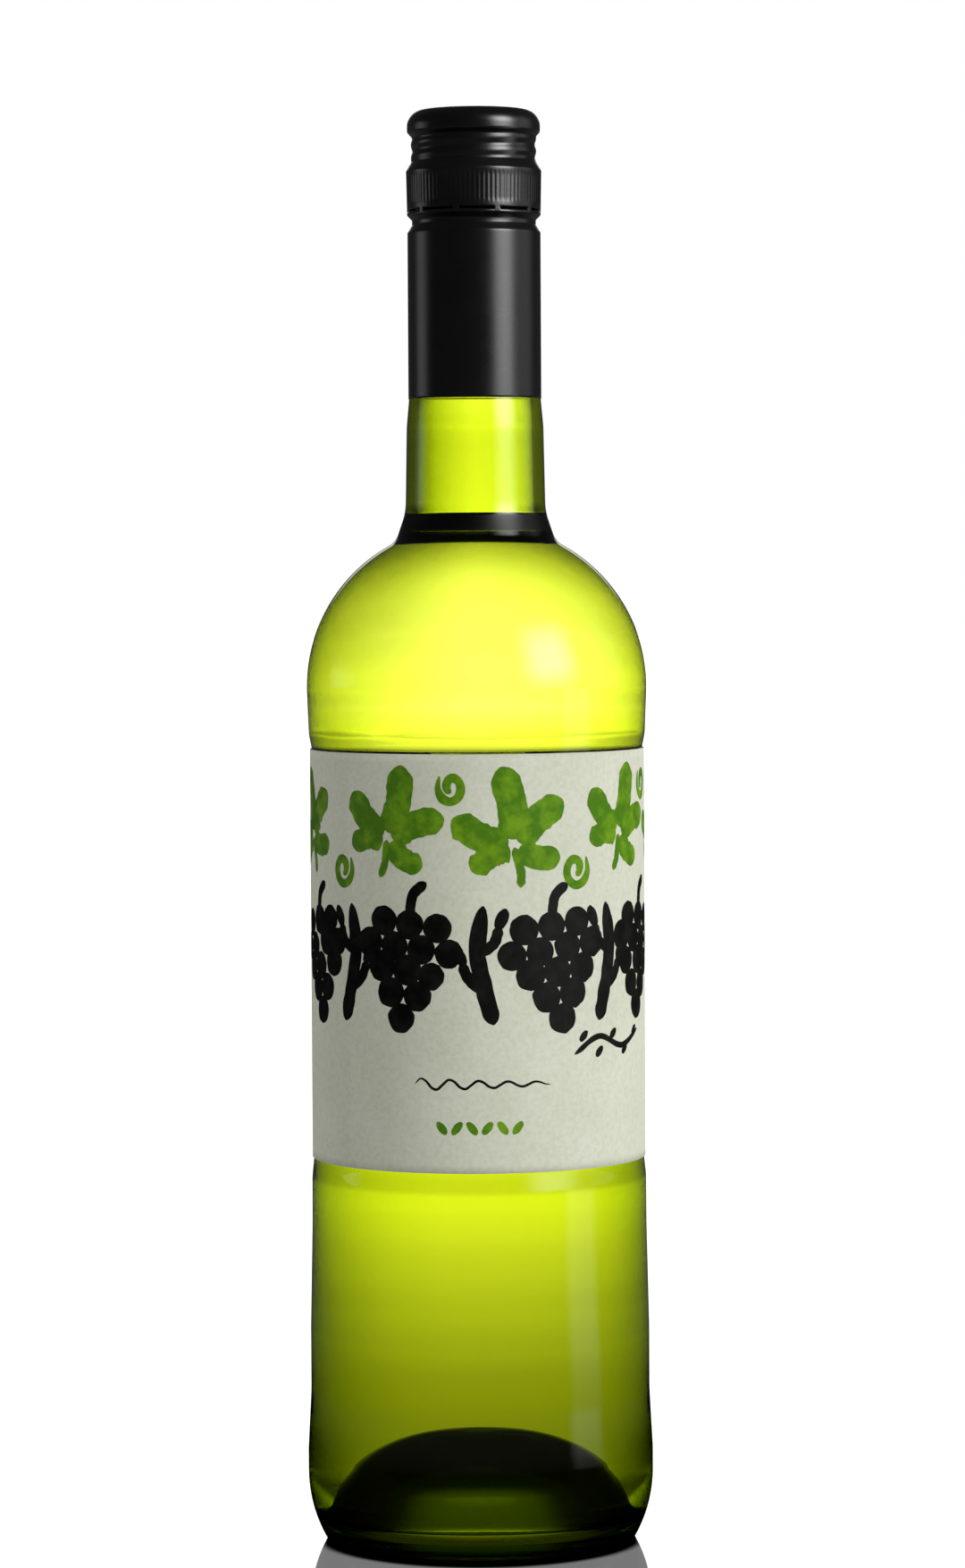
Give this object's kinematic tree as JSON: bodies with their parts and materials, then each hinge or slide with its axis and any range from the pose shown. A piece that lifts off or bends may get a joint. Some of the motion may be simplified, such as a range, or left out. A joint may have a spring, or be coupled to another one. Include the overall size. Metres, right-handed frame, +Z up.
{
  "type": "wine bottle",
  "caption": "Full glass bottle of white wine with straight sides, round shoulders, a punt, a long-skirted aluminium screw cap and a wrap-round paper label.",
  "frame": {"origin": "centre of the ring that the bottle stands on, on the surface it stands on", "axes": "+Z up the bottle's axis to the cap, -Y towards the middle of the label, +X to the right of someone who faces the label"},
  "size_m": [0.0764, 0.0764, 0.315],
  "materials": {
    "green_glass": "clear yellow-green bottle glass, moulded and fire-polished",
    "white_wine": "clear still white wine, a liquid",
    "black_aluminium": "satin black lacquer on drawn aluminium sheet",
    "label_paper": "uncoated off-white label paper, printed in green and black"
  },
  "bodies": {
    "root": {"glass_bottle": "green_glass", "wine": "white_wine", "screw_cap": "black_aluminium", "label": "label_paper"}
  },
  "joints": []
}
